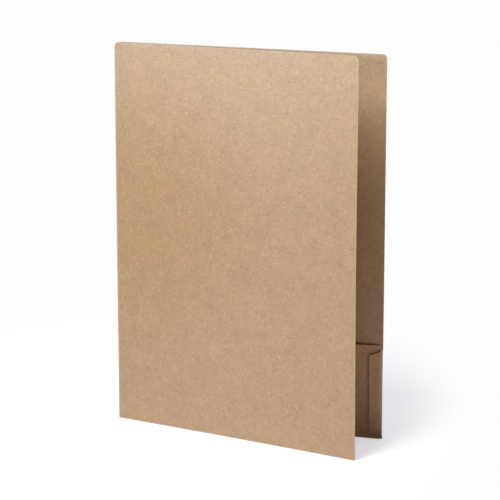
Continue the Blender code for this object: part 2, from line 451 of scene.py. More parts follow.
@dataclass(frozen=True)
class KraftFace:
    """Face of uncoated kraft board: cloudy, mottled, with pale and dark fibres and a few specks.

    Sizes are in metres. Strengths are shares of the colour that is mixed in, and a span is where a fade
    starts and ends. straw is what the colour is multiplied by in the middle of a broad patch of yellower
    pulp, which fades out from its core to its reach. Cut edges are worn and folds are stretched over a width,
    with a ragged border. relief is the depth of the bumps, and relief_shares is what grain, mottle, pale
    fibres and dark fibres add to it.
    """

    name: str
    colour: Colour
    seed: float
    pale: Colour = (0.82, 0.65, 0.48)
    dark: Colour = (0.25, 0.14, 0.075)
    warmth: Colour = (1.022, 1.010, 0.968)
    warm_clouds: Span = (0.3, 0.7)
    yellow_patch_tint: Colour = (0.955, 0.905, 0.800)
    yellow_patch_centre: Place = (-0.020, 0.175, 0.0)
    yellow_patch_core: float = 0.030
    yellow_patch_reach: float = 0.155
    roughness: float = 0.84
    roughness_spread: float = 0.12
    shine: float = 0.35
    cloud: Tone = Tone(0.020, 0.13, 3.0, 0.55)
    mottle: Tone = Tone(0.0060, 0.25, 3.0, 0.6)
    grain: Tone = Tone(0.0011, 0.42)
    fibre_cell: float = 0.0042
    fibre_length: float = 0.0031
    fibre_width: float = 0.00042
    fibre_curl: float = 0.0009
    fibre_share: float = 0.55
    fibre_edge: Span = (0.3, 1.0)
    shortest: float = 0.5
    thinnest: float = 0.7
    width_spread: float = 0.6
    layer_shift: Point = (0.37, 0.61)
    pale_layers: tuple[int, ...] = (1, 2, 3)
    dark_layers: tuple[int, ...] = (4, 5, 6)
    pale_fibres: float = 0.46
    dark_fibres: float = 0.50
    speck_cell: float = 0.0075
    speck_radius: float = 0.00040
    speck_edge: Span = (0.0, 0.6)
    speck_chance: Span = (0.55, 0.60)
    speck_strength: float = 0.7
    wear_width: float = 0.0009
    wear_strength: float = 0.22
    wear_edge: Span = (0.1, 1.0)
    wear_ragged: float = 1.2
    stretch_and_highlight_width: float = 0.0016
    stretch_and_highlight_strength: float = 0.20
    stretch_and_highlight_edge: Span = (0.0, 1.0)
    stretch_and_highlight_ragged: float = 1.4
    relief: float = 0.00006
    relief_strength: float = 0.7
    relief_shares: tuple[float, float, float, float] = (0.55, 0.25, 0.35, -0.25)

    def _fibre_layer(self, net: Net, place: Value, number: int) -> Value:
        """Thin curved fibres, each with a direction, length and curl of its own.

        Args:
            net: The net of the material.
            place: Place on the blank.
            number: Which layer this is, so that no two are alike.

        Returns:
            Mask of the fibres.
        """
        shift = [number * part for part in self.layer_shift]
        shifted = net.vector("ADD", place, (*shift, 0.0))
        cells, chance = net.cells(shifted, self.fibre_cell)
        turned = net.add("ShaderNodeVectorRotate", {"rotation_type": "Z_AXIS"}, {
            "Vector": net.vector("SUBTRACT", shifted, cells["Position"]), "Angle": math.tau * chance["Red"],
        })
        axes = net.split(turned[0])
        along = 2.0 * axes["X"] / (self.fibre_length * (self.shortest + chance["Green"]))
        curled = axes["Y"] + self.fibre_curl * (chance["Green"] - MIDDLE) * along * along
        across = 2.0 * curled / (self.fibre_width * (self.thinnest + self.width_spread * chance["Blue"]))
        strength = chance["Blue"].step(1.0 - self.fibre_share, 1.0)
        return strength * (1.0 - (along * along + across * across).step(*self.fibre_edge))

    def _fibres(self, net: Net, place: Value, layers: Sequence[int]) -> Value:
        """Mask of the fibres of several layers together."""
        masks = [self._fibre_layer(net, place, number) for number in layers]
        return reduce(Value.larger, masks)

    def _specks(self, net: Net, place: Value) -> Value:
        """Small dark specks of bark.

        Args:
            net: The net of the material.
            place: Place on the blank.

        Returns:
            Mask of the specks.
        """
        cells, chance = net.cells(place, self.speck_cell)
        radius = chance["Red"] * (self.speck_radius / self.speck_cell)
        disc = (1.0 - cells["Distance"] / radius).step(*self.speck_edge)
        return disc * chance["Green"].step(*self.speck_chance)

    def build(self) -> bpy.types.Material:
        """Make the material.

        Returns:
            The material.
        """
        material, net = new_material(self.name)
        on_blank = net.attribute(PLACE, "Vector")
        place = net.vector("ADD", on_blank, (self.seed, self.seed / 2.0, self.seed))

        cloud, mottle, grain = (tone.read(net, place) for tone in (self.cloud, self.mottle, self.grain))
        pale_fibres = self._fibres(net, place, self.pale_layers)
        dark_fibres = self._fibres(net, place, self.dark_layers)

        tone = (1.0 + self.cloud.strength * (cloud - MIDDLE) + self.mottle.strength * (mottle - MIDDLE)
                + self.grain.strength * (grain - MIDDLE))
        warm = tuple(part * share for part, share in zip(self.colour, self.warmth))
        board = net.mixed(cloud.step(*self.warm_clouds), rgba(self.colour), rgba(warm))
        board = net.scaled(board, tone)
        # Broad yellower patch round a given place on the blank, fading out from its core to its reach.
        away = net.measure("DISTANCE", on_blank, self.yellow_patch_centre) + self.yellow_patch_core * (cloud - MIDDLE)
        in_yellow_patch = 1.0 - away.step(self.yellow_patch_core, self.yellow_patch_reach)
        board = net.mixed(in_yellow_patch, board, net.vector("MULTIPLY", board, self.yellow_patch_tint))

        rim = net.attribute(RIM) / self.wear_width + self.wear_ragged * (mottle - MIDDLE)
        # Pale band along the folds: partly stretched fibres, partly a painted highlight where the crease rounds.
        fold = net.attribute(FOLD) / self.stretch_and_highlight_width + self.stretch_and_highlight_ragged * (grain - MIDDLE)
        for mask, strength, colour in (
            (pale_fibres, self.pale_fibres, self.pale),
            (dark_fibres, self.dark_fibres, self.dark),
            (self._specks(net, place), self.speck_strength, self.dark),
            (1.0 - rim.step(*self.wear_edge), self.wear_strength, self.pale),
            (1.0 - fold.step(*self.stretch_and_highlight_edge), self.stretch_and_highlight_strength, self.pale),
        ):
            board = net.mixed(mask * strength, board, rgba(colour))

        masks = (grain, mottle, pale_fibres, dark_fibres)
        height = reduce(Value.__add__, (share * mask for share, mask in zip(self.relief_shares, masks)))
        inputs = {"Strength": self.relief_strength, "Distance": self.relief, "Height": height}
        net.feed(material.node_tree.nodes["Principled BSDF"], {
            "Base Color": board, "Roughness": self.roughness + self.roughness_spread * (mottle - MIDDLE),
            "Specular IOR Level": self.shine, "Normal": net.add("ShaderNodeBump", {}, inputs)[0],
        })
        return material


@dataclass(frozen=True)
class CutEdgeFace:
    """Die-cut edge of the board, where torn fibre ends and the layers of the sheet show."""

    name: str = "kraft_cut_edge"
    colour: Colour = (0.55, 0.385, 0.25)
    pale: Colour = (0.76, 0.60, 0.44)
    dark: Colour = (0.33, 0.20, 0.11)
    tufts: Tone = Tone(0.0007, 0.6, 3.0, 0.6)
    tuft_edge: Span = (0.40, 0.66)
    layers: Tone = Tone(0.00012, 0.4, 1.0)
    layer_edge: Span = (0.52, 0.70)
    layer_strength: float = 0.5
    relief: float = 0.00008
    relief_strength: float = 0.8
    roughness: float = 0.94
    shine: float = 0.2

    def build(self) -> bpy.types.Material:
        """Make the material.

        Returns:
            The material.
        """
        material, net = new_material(self.name)
        place = net.add("ShaderNodeTexCoord")["Object"]
        tufts, layers = (tone.read(net, place) for tone in (self.tufts, self.layers))
        board = net.mixed(tufts.step(*self.tuft_edge), rgba(self.colour), rgba(self.pale))
        layered = self.layer_strength * layers.step(*self.layer_edge)
        board = net.mixed(layered, board, rgba(self.dark))
        height = self.tufts.strength * tufts + self.layers.strength * layers
        inputs = {"Strength": self.relief_strength, "Distance": self.relief, "Height": height}
        net.feed(material.node_tree.nodes["Principled BSDF"], {
            "Base Color": board, "Roughness": self.roughness, "Specular IOR Level": self.shine,
            "Normal": net.add("ShaderNodeBump", {}, inputs)[0],
        })
        return material


class Finishes:
    """Materials of the card's sides, for each slot, by the names of the sides."""

    def __init__(self) -> None:
        """Make every material once. The patch of yellower pulp is on the outside alone."""
        inner = {"seed": 3.0, "yellow_patch_tint": (1.0, 1.0, 1.0)}
        folded = {"stretch_and_highlight_strength": 0.10, "grain": Tone(0.0011, 0.30), "relief": 0.0001, "shine": 0.10}
        faces = {
            Slot.CARD: (KraftFace("kraft_outside", (0.526, 0.351, 0.2225), seed=1.0),
                        KraftFace("kraft_inside", (0.512, 0.357, 0.222), roughness=0.88, **inner)),
            # The creases take darker copies of the card's colours: painted shade over the light that their rounded
            # bends catch.
            Slot.CREASE: (KraftFace("crease_outside_shaded", (0.480, 0.320, 0.203), seed=1.0, **folded),
                          KraftFace("crease_inside_shaded", (0.485, 0.338, 0.209), **inner, **folded)),
        }
        pairs = {slot: [face.build() for face in pair] for slot, pair in faces.items()}
        cut_edge = CutEdgeFace().build()
        names = [side.name for side in Side]
        self.of = {slot: dict(zip(names, (*pair, cut_edge))) for slot, pair in pairs.items()}


@dataclass(frozen=True)
class Layout:
    """Sizes and axes that the pieces share, read from the packed model.

    card is the thickness of the board, and half_open the angle that each spine crease stands open at rest.
    """

    card: float
    half_open: float
    rear_axis: Vector
    front_axis: Vector
    tab_axis: Vector
    back_plane_y: float
    width: float
    height: float
    crease_top: float
    slit: float

    @classmethod
    def from_frame(cls, frame: Mapping[str, object]) -> "Layout":
        """Read the layout.

        Args:
            frame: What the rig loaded.

        Returns:
            The layout.
        """
        axes = {joint["name"]: Vector((*joint["pos_m"][:2], 0.0)) for joint in frame["joints"]}
        rear, front, tab = axes["spine_rear_fold"], axes["spine_front_fold"], axes["side_tab_fold"]
        low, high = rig.box("back_cover")
        return cls(
            card=high.y - low.y,
            half_open=math.atan2(rear.x - front.x, rear.y - front.y),
            rear_axis=rear,
            front_axis=front,
            tab_axis=tab,
            back_plane_y=(low.y + high.y) / 2.0,
            width=high.x - rear.x,
            height=high.z,
            crease_top=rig.box("spine")[1].z,
            slit=low.x - rear.x,
        )

    @property
    def crease_radius(self) -> float:
        """Radius of the middle of the card round a spine crease."""
        return self.back_plane_y - self.rear_axis.y

    @property
    def crease_turn(self) -> float:
        """Angle that each spine crease bends through."""
        return math.pi / 2.0 - self.half_open

    @property
    def crease_length(self) -> float:
        """Width of a spine crease on the flat blank."""
        return self.crease_radius * self.crease_turn

    @property
    def spine_width(self) -> float:
        """Width of the flat part of the spine."""
        return (self.rear_axis - self.front_axis).length

    @property
    def front_start(self) -> float:
        """Place across the blank where the front cover starts."""
        return -2.0 * self.crease_length - self.spine_width

    @property
    def tab_radius(self) -> float:
        """Radius of the middle of the card round the side tab's fold."""
        return self.back_plane_y - self.tab_axis.y

    @property
    def tab_fold(self) -> float:
        """Place across the blank where the side tab's fold starts."""
        return self.tab_axis.x - self.rear_axis.x


@dataclass(frozen=True)
class Corner:
    """Corner of an outline, in blank coordinates.

    radius rounds it, and fold says that the edge from here to the next corner runs on into another piece.
    """

    b: float
    v: float
    radius: float = 0.0
    fold: bool = False


@dataclass
class Outline:
    """Closed outline of a flat piece, anticlockwise as seen from the inside of the folder."""

    corners: list[Corner]
    steps: int = 10

    @classmethod
    def strip(cls, left: float, right: float, bottom: float, top: float) -> "Outline":
        """Upright strip of the blank, folded on both sides."""
        return cls([Corner(left, bottom), Corner(right, bottom, fold=True), Corner(right, top),
                    Corner(left, top, fold=True)])

    def _arc(self, number: int) -> list[Point]:
        """Draw one corner, rounded if it has a radius.

        Args:
            number: Which corner.

        Returns:
            Its points, in order.
        """
        corner = self.corners[number]
        here = Vector((corner.b, corner.v))
        if not corner.radius:
            return [tuple(here)]
        before = self.corners[number - 1]
        after = self.corners[(number + 1) % len(self.corners)]
        back = (Vector((before.b, before.v)) - here).normalized()
        ahead = (Vector((after.b, after.v)) - here).normalized()
        half = back.angle(ahead) / 2.0
        centre = here + (back + ahead).normalized() * (corner.radius / math.sin(half))
        setback = corner.radius / math.tan(half)
        start, end = here + back * setback - centre, here + ahead * setback - centre
        sweep = math.pi - 2.0 * half
        points = []
        for step in range(self.steps + 1):
            share = step / self.steps
            spoke = start * math.sin((1.0 - share) * sweep) + end * math.sin(share * sweep)
            points.append(tuple(centre + spoke / math.sin(sweep)))
        return points

    def edges(self) -> tuple[list[Point], list[Edge], list[Edge]]:
        """Work the outline out.

        Returns:
            Its points, its cut edges and its fold edges.
        """
        points, folds_after = [], []
        for number, corner in enumerate(self.corners):
            arc = self._arc(number)
            points += arc
            folds_after += [False] * (len(arc) - 1) + [corner.fold]
        cut, folded = [], []
        for number, point in enumerate(points):
            edge = (point, points[(number + 1) % len(points)])
            (folded if folds_after[number] else cut).append(edge)
        return points, cut, folded


def distance_to(points: np.ndarray, edges: Sequence[Edge], far: float) -> np.ndarray:
    """Distance of each point from the nearest edge.

    Args:
        points: Points in blank coordinates, one a row.
        edges: Straight edges.
        far: Distance to give where there is no edge.

    Returns:
        One distance for each point.
    """
    nearest = np.full(len(points), far)
    for start, end in edges:
        first, along = np.array(start), np.array(end) - np.array(start)
        share = np.clip((points - first) @ along / (along @ along), 0.0, 1.0)
        gap = np.linalg.norm(points - first - share[:, None] * along, axis=1)
        nearest = np.minimum(nearest, gap)
    return nearest


def grid_lines(low: float, high: float, cell: float, band: float) -> list[float]:
    """Places that cut a span into cells, with a narrow band along each end.

    Args:
        low: Start of the span.
        high: End of the span.
        cell: Widest cell.
        band: Width of the band, or 0 for none.

    Returns:
        The places, without the span's ends.
    """
    first, last = low + band, high - band
    count = max(1, math.ceil((last - first) / cell))
    lines = [first + (last - first) * step / count for step in range(count + 1)]
    return [line for line in lines if low < line < high]


@dataclass
class FlatPiece:
    """Piece of the blank, drawn flat with its thickness and its rounded cut edges.

    snap is the distance within which a point lies on a line, and no_edge the distance that is stored where a
    piece has no edge of a kind. A face whose normal points through the card by more than face_lean, out of 1,
    lies on one of the card's two sides, and any other face belongs to its cut edge.
    """

    name: str
    outline: Outline
    columns: list[float]
    rows: list[float]
    card: float
    edge_rounding: float = 0.00009
    rounding_steps: int = 2
    snap: float = 0.00004
    no_edge: float = 1.0
    face_lean: float = 0.8

    def draw(self) -> bpy.types.Object:
        """Draw the piece.

        Returns:
            A mesh object in blank coordinates, with the attributes that the forms and finishes read.
        """
        points, cut, folded = self.outline.edges()
        sheet = bmesh.new()
        face = sheet.faces.new([sheet.verts.new((b, v, -self.card / 2.0)) for b, v in points])
        grown = bmesh.ops.extrude_face_region(sheet, geom=[face])["geom"]
        top = [item for item in grown if isinstance(item, bmesh.types.BMVert)]
        bmesh.ops.translate(sheet, verts=top, vec=(0.0, 0.0, self.card))
        for axis, lines in ((0, self.columns), (1, self.rows)):
            for line in lines:
                self._cut(sheet, axis, line)
        bmesh.ops.recalc_face_normals(sheet, faces=sheet.faces)
        bmesh.ops.bevel(sheet, geom=self._rim(sheet, folded), offset=self.edge_rounding,
                        segments=self.rounding_steps, profile=0.5, affect="EDGES", clamp_overlap=False)
        bmesh.ops.recalc_face_normals(sheet, faces=sheet.faces)
        mesh = bpy.data.meshes.new(self.name)
        sheet.to_mesh(mesh)
        sheet.free()
        self._mark(mesh, cut, folded)
        return add_object(self.name, mesh)

    def _cut(self, sheet: bmesh.types.BMesh, axis: int, place: float) -> None:
        """Cut every face along a line of the grid.

        Args:
            sheet: The piece.
            axis: Axis that the line stands across, 0 for b and 1 for v.
            place: Where it stands on that axis.
        """
        point, normal = Vector(), Vector()
        point[axis], normal[axis] = place, 1.0
        geometry = sheet.verts[:] + sheet.edges[:] + sheet.faces[:]
        bmesh.ops.bisect_plane(sheet, geom=geometry, dist=self.snap, plane_co=point, plane_no=normal)

    def _rim(self, sheet: bmesh.types.BMesh, folded: Sequence[Edge]) -> list[bmesh.types.BMEdge]:
        """Find the edges between the sides of the card and its cut edge.

        Args:
            sheet: The piece.
            folded: Fold edges of its outline, which aren't cut.

        Returns:
            The edges that get rounded.
        """
        found = []
        for edge in sheet.edges:
            if len(edge.link_faces) != 2:
                continue
            flat = [abs(face.normal.z) > self.face_lean for face in edge.link_faces]
            if flat[0] == flat[1]:
                continue
            middle = (edge.verts[0].co + edge.verts[1].co) / 2.0
            at = np.array([[middle.x, middle.y]])
            if distance_to(at, folded, self.no_edge)[0] > self.snap:
                found.append(edge)
        return found

    def _mark(self, mesh: bpy.types.Mesh, cut: Sequence[Edge], folded: Sequence[Edge]) -> None:
        """Store each point's place on the blank and its distances, and each face's side.

        Args:
            mesh: The piece's mesh.
            cut: Cut edges of its outline.
            folded: Fold edges of its outline.
        """
        places = np.zeros(len(mesh.vertices) * 3, np.float32)
        mesh.vertices.foreach_get("co", places)
        flat = places.reshape(-1, 3)[:, :2].astype(float)
        mesh.attributes.new(PLACE, "FLOAT_VECTOR", "POINT").data.foreach_set("vector", places)
        for name, edges in ((RIM, cut), (FOLD, folded)):
            distances = distance_to(flat, edges, self.no_edge).astype(np.float32)
            mesh.attributes.new(name, "FLOAT", "POINT").data.foreach_set("value", distances)
        sides = []
        for face in mesh.polygons:
            if abs(face.normal.z) < self.face_lean:
                sides.append(Side.CUT_EDGE.value)
            else:
                sides.append(Side.INSIDE.value if face.normal.z > 0.0 else Side.OUTSIDE.value)
        mesh.attributes.new(SIDE, "INT", "FACE").data.foreach_set("value", sides)


class Form:
    """Geometry Nodes tree that gives a flat piece its shape and place in the folder.

    Edges that turn by more than sharp aren't shaded smooth.
    """

    sharp = math.radians(20.0)

    def __init__(self, name: str, numbers: Iterable[str], vectors: Iterable[str]) -> None:
        """Start the tree with its named inputs.

        Args:
            name: Name of the tree.
            numbers: Names of its inputs that are numbers.
            vectors: Names of its inputs that are vectors.
        """
        self.tree = bpy.data.node_groups.new(name, "GeometryNodeTree")
        self._input("Geometry", "NodeSocketGeometry")
        for label in numbers:
            self._input(label, "NodeSocketFloat")
        for label in vectors:
            self._input(label, "NodeSocketVector")
        for side in Side:
            self._input(side.name, "NodeSocketMaterial")
        self.tree.interface.new_socket("Geometry", in_out="OUTPUT", socket_type="NodeSocketGeometry")
        self.net = Net(self.tree)
        self.given = self.net.add("NodeGroupInput")
        self.flat = self.net.add("GeometryNodeInputPosition")[0]

    def _input(self, label: str, kind: str) -> None:
        """Give the tree one named input."""
        self.tree.interface.new_socket(label, in_out="INPUT", socket_type=kind)

    def close(self, position: Value) -> None:
        """End the tree: move every point and give each side of the card its material.

        Args:
            position: Where each point goes.
        """
        add = self.net.add
        inputs = {"Geometry": self.given["Geometry"], "Position": position}
        shape = add("GeometryNodeSetPosition", {}, inputs)[0]
        shape = add("GeometryNodeRealizeInstances", {}, {"Geometry": shape})[0]
        number = add("GeometryNodeInputNamedAttribute", {"data_type": "INT"}, {"Name": SIDE})[0]
        for side in Side:
            settings = {"data_type": "INT", "operation": "EQUAL"}
            chosen = add("FunctionNodeCompare", settings, {"A_INT": number, "B_INT": side.value})[0]
            inputs = {"Geometry": shape, "Selection": chosen, "Material": self.given[side.name]}
            shape = add("GeometryNodeSetMaterial", {}, inputs)[0]
        add("NodeGroupOutput", {}, {"Geometry": shape})

    def apply(self, piece: bpy.types.Object, values: Mapping[str, object]) -> None:
        """Shape a piece and turn the result into a plain mesh, in its place in the folder.

        Args:
            piece: The flat piece.
            values: What each named input is set to. Any other number stays 0.
        """
        modifier = piece.modifiers.new(self.tree.name, "NODES")
        modifier.node_group = self.tree
        for item in self.tree.interface.items_tree:
            if item.in_out == "INPUT" and item.name in values:
                modifier[item.identifier] = values[item.name]
        graph = bpy.context.evaluated_depsgraph_get()
        shaped = piece.evaluated_get(graph)
        mesh = bpy.data.meshes.new_from_object(shaped, preserve_all_data_layers=True, depsgraph=graph)
        piece.modifiers.remove(modifier)
        mesh.name = piece.name
        piece.data = mesh
        for face in mesh.polygons:
            face.use_smooth = True
        mesh.set_sharp_from_angle(angle=self.sharp)


class PanelForm(Form):
    """Stands a flat panel up, with its bow, curl, lean and ripple."""

    def __init__(self) -> None:
        """Build the tree."""
        numbers = ("Start b", "Start v", "Width", "Height", "Offset", "Bow", "Curl", "Lean at edge", "Lean",
                   "Lean run", "Ripple", "Ripple size", "Ripple fade", "Seed")
        super().__init__("panel_form", numbers, ("Origin", "Across", "Upwards", "Inwards"))
        net, given = self.net, self.given
        axes = net.split(self.flat)
        across = axes["X"] - given["Start b"]
        upwards = axes["Y"] - given["Start v"]
        share = across.size() / given["Width"]
        rise = upwards.size() / given["Height"]
        bow = given["Bow"] * (math.pi * share).sine()
        hump = (math.pi * rise).sine()
        curl = given["Curl"] * share * share * hump * hump
        run = ((1.0 - share) * given["Width"]).step(0.0, given["Lean run"])
        lean = rise * (given["Lean at edge"] + (given["Lean"] - given["Lean at edge"]) * run)
        spot = net.add("ShaderNodeCombineXYZ", {}, {"X": axes["X"], "Y": axes["Y"], "Z": given["Seed"]})[0]
        waves = net.noise(spot, given["Ripple size"], detail=1.0)
        fold = net.add("GeometryNodeInputNamedAttribute", {"data_type": "FLOAT"}, {"Name": FOLD})[0]
        ripple = given["Ripple"] * (waves - MIDDLE) * fold.step(0.0, given["Ripple fade"])
        depth = axes["Z"] + given["Offset"] + bow + curl + lean + ripple
        place = net.vector("ADD", given["Origin"], net.scaled(given["Across"], across))
        place = net.vector("ADD", place, net.scaled(given["Upwards"], upwards))
        self.close(net.vector("ADD", place, net.scaled(given["Inwards"], depth)))


class CreaseForm(Form):
    """Rolls a flat strip about a crease axis, with its outside outwards."""

    def __init__(self) -> None:
        """Build the tree."""
        numbers = ("Radius",)
        vectors = ("Flat start", "Flat progress", "Flat along", "Axis", "First spoke", "Next spoke", "Along")
        super().__init__("crease_form", numbers, vectors)
        net, given = self.net, self.given
        depth = net.split(self.flat)["Z"]
        spot = net.vector("SUBTRACT", self.flat, given["Flat start"])
        turned = net.measure("DOT_PRODUCT", spot, given["Flat progress"]) / given["Radius"]
        spoke = net.vector("ADD", net.scaled(given["First spoke"], turned.cosine()),
                           net.scaled(given["Next spoke"], turned.sine()))
        place = net.vector("ADD", given["Axis"], net.scaled(spoke, given["Radius"] - depth))
        along = net.scaled(given["Along"], net.measure("DOT_PRODUCT", spot, given["Flat along"]))
        self.close(net.vector("ADD", place, along))


@dataclass
class Workshop:
    """What every sub-assembly is made with: the layout, the forms and the finishes.

    A panel's mesh has cells of one size, with a narrow band of them along its edges. A crease's has a step
    across for each small turn, and long cells along it.
    """

    layout: Layout
    panels: PanelForm = field(default_factory=PanelForm)
    creases: CreaseForm = field(default_factory=CreaseForm)
    finishes: Finishes = field(default_factory=Finishes)
    cell: float = 0.005
    edge_band: float = 0.001
    fold_step: float = math.radians(6.0)
    fold_cell: float = 0.020
    ripple_size: float = 0.08
    ripple_fade: float = 0.03

    def panel(self, node: str, outline: Outline, values: Mapping[str, object]) -> bpy.types.Object:
        """Make a panel.

        Args:
            node: Name of the packed node that the panel stands for.
            outline: Its outline.
            values: What its form is set to.

        Returns:
            The panel in its place.
        """
        points = outline.edges()[0]
        lows, highs = np.min(points, axis=0), np.max(points, axis=0)
        columns, rows = (grid_lines(lows[axis], highs[axis], self.cell, self.edge_band) for axis in (0, 1))
        piece = FlatPiece(node + "_panel", outline, columns, rows, self.layout.card).draw()
        preset = {"Width": self.layout.width, "Height": self.layout.height, "Lean run": self.cell,
                  "Ripple size": self.ripple_size, "Ripple fade": self.ripple_fade, "Upwards": UP}
        self.panels.apply(piece, {**preset, **self.finishes.of[Slot.CARD], **values})
        self._register(piece, node, Slot.CARD)
        return piece

    def crease(self, node: str, outline: Outline, values: Mapping[str, object]) -> bpy.types.Object:
        """Make a crease.

        Args:
            node: Name of the packed node that the crease stands for.
            outline: Its outline on the blank.
            values: What its form is set to.

        Returns:
            The crease in its place.
        """
        points = np.array(outline.edges()[0])
        lows, highs = points.min(axis=0), points.max(axis=0)
        across = int(np.argmin(highs - lows))
        fine = values["Radius"] * self.fold_step
        columns, rows = (grid_lines(lows[axis], highs[axis], fine if axis == across else self.fold_cell, 0.0)
                         for axis in (0, 1))
        piece = FlatPiece(node + "_bend", outline, columns, rows, self.layout.card).draw()
        self.creases.apply(piece, {**self.finishes.of[Slot.CREASE], **values})
        self._register(piece, node, Slot.CREASE)
        return piece

    @staticmethod
    def _register(piece: bpy.types.Object, node: str, slot: Slot) -> None:
        """Say which node a piece stands for and which slot its finish is."""
        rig.replaces(piece, node)
        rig.slot(piece, slot.value)


@dataclass
class SubAssembly:
    """Some pieces of the folder that are made together."""

    shop: Workshop

    def build(self) -> list[bpy.types.Object]:
        """Make the pieces, each riding on its body."""
        raise NotImplementedError


@dataclass
class BackCover(SubAssembly):
    """Back cover, flat, with the places cut out of it where the pocket and the side tab fold off.

    top_fall is how much lower its top edge is at the free edge.
    """

    top_fall: float = 0.004
    outer_corner: float = 0.0035
    foot_corner: float = 0.0012
    ripple: float = 0.00035
    ripple_seed: float = 2.0

    def build(self) -> list[bpy.types.Object]:
        """Make the cover.

        Returns:
            The cover, riding on the back.
        """
        layout = self.shop.layout
        slit, width, height = layout.slit, layout.width, layout.height
        pocket_low, pocket_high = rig.box("pocket_crease")
        left, right = pocket_low.x - layout.rear_axis.x, pocket_high.x - layout.rear_axis.x
        foot = pocket_high.z
        tab_low, tab_high = (corner.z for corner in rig.box("side_tab_crease"))
        tab = layout.tab_fold
        outline = Outline([
            Corner(0.0, 0.0),
            Corner(left - slit, 0.0),
            Corner(left - slit, foot),
            Corner(left, foot, fold=True),
            Corner(right, foot),
            Corner(right + slit, foot),
            Corner(right + slit, 0.0),
            Corner(width, 0.0, self.foot_corner),
            Corner(width, tab_low - slit),
            Corner(tab, tab_low - slit),
            Corner(tab, tab_low, fold=True),
            Corner(tab, tab_high),
            Corner(tab, tab_high + slit),
            Corner(width, tab_high + slit),
            Corner(width, height - self.top_fall, self.outer_corner),
            Corner(0.0, height, height - layout.crease_top, fold=True),
        ])
        cover = self.shop.panel("back_cover", outline, {
            "Origin": layout.rear_axis, "Across": RIGHT, "Inwards": -REARWARDS,
            "Offset": -layout.crease_radius, "Ripple": self.ripple, "Seed": self.ripple_seed,
        })
        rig.ride(cover, "back")
        return [cover]


@dataclass
class FrontCover(SubAssembly):
    """Front cover, slightly bowed towards the inside, with its free edge a little curled."""

    outer_corner: float = 0.0042
    bow: float = 0.0012
    curl: float = -0.0010
    ripple: float = 0.0006
    ripple_seed: float = 5.0

    def build(self) -> list[bpy.types.Object]:
        """Make the cover.

        Returns:
            The cover, riding on the front.
        """
        layout = self.shop.layout
        start, width, height = layout.front_start, layout.width, layout.height
        opened = 2.0 * layout.half_open
        outline = Outline([
            Corner(start - width, 0.0),
            Corner(start, 0.0, fold=True),
            Corner(start, height, height - layout.crease_top),
            Corner(start - width, height, self.outer_corner),
        ])
        cover = self.shop.panel("front_cover", outline, {
            "Start b": start, "Origin": layout.front_axis,
            "Across": Vector((-math.cos(opened), math.sin(opened), 0.0)),
            "Inwards": Vector((math.sin(opened), math.cos(opened), 0.0)),
            "Offset": -layout.crease_radius, "Bow": self.bow, "Curl": self.curl, "Ripple": self.ripple,
            "Seed": self.ripple_seed,
        })
        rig.ride(cover, "front")
        return [cover]


@dataclass
class SpineGusset(SubAssembly):
    """Spine and the two creases that it stands between."""

    def build(self) -> list[bpy.types.Object]:
        """Make the spine and its creases.

        Returns:
            The spine, the rear crease and the front crease.
        """
        layout = self.shop.layout
        turned = layout.half_open
        length = layout.crease_length
        ends = (0.0, -length, -length - layout.spine_width, layout.front_start)
        leftwards = Vector((-math.cos(turned), math.sin(turned), 0.0))
        forwards = Vector((-math.sin(turned), -math.cos(turned), 0.0))
        spine = self.shop.panel("spine", Outline.strip(ends[2], ends[1], 0.0, layout.crease_top), {
            "Start b": ends[1], "Origin": layout.rear_axis, "Across": -forwards, "Inwards": -leftwards,
            "Offset": -layout.crease_radius,
        })
        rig.ride(spine, "spine")
        rear = self._crease("spine_rear_crease", ends[1], ends[0], layout.rear_axis, REARWARDS, -RIGHT,
                            ("back", "spine"))
        front = self._crease("spine_front_crease", ends[3], ends[2], layout.front_axis, leftwards, forwards,
                             ("spine", "front"))
        return [spine, rear, front]

    def _crease(self, node: str, left: float, right: float, axis: Vector, first: Vector, following: Vector,
                bodies: tuple[str, str]) -> bpy.types.Object:
        """Make one crease, which bends between two bodies.

        Args:
            node: Name of the packed node that the crease stands for.
            left: Its left end on the blank.
            right: Its right end on the blank.
            axis: Axis that it folds about.
            first: Direction from the axis to where the bend starts.
            following: Direction from the axis to where a quarter turn ends.
            bodies: The two bodies that it joins.

        Returns:
            The crease in its place.
        """
        layout = self.shop.layout
        radius = layout.crease_radius
        bend = self.shop.crease(node, Outline.strip(left, right, 0.0, layout.crease_top), {
            "Radius": radius, "Flat start": BLANK_B * right, "Flat progress": -BLANK_B, "Flat along": BLANK_V,
            "Axis": axis, "First spoke": first, "Next spoke": following, "Along": UP,
        })
        inner = radius - layout.card / 2.0
        turn = layout.crease_turn
        last = first * math.cos(turn) + following * math.sin(turn)
        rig.blend(bend, *bodies, start=tuple(axis + first * inner), end=tuple(axis + last * inner))
        return bend


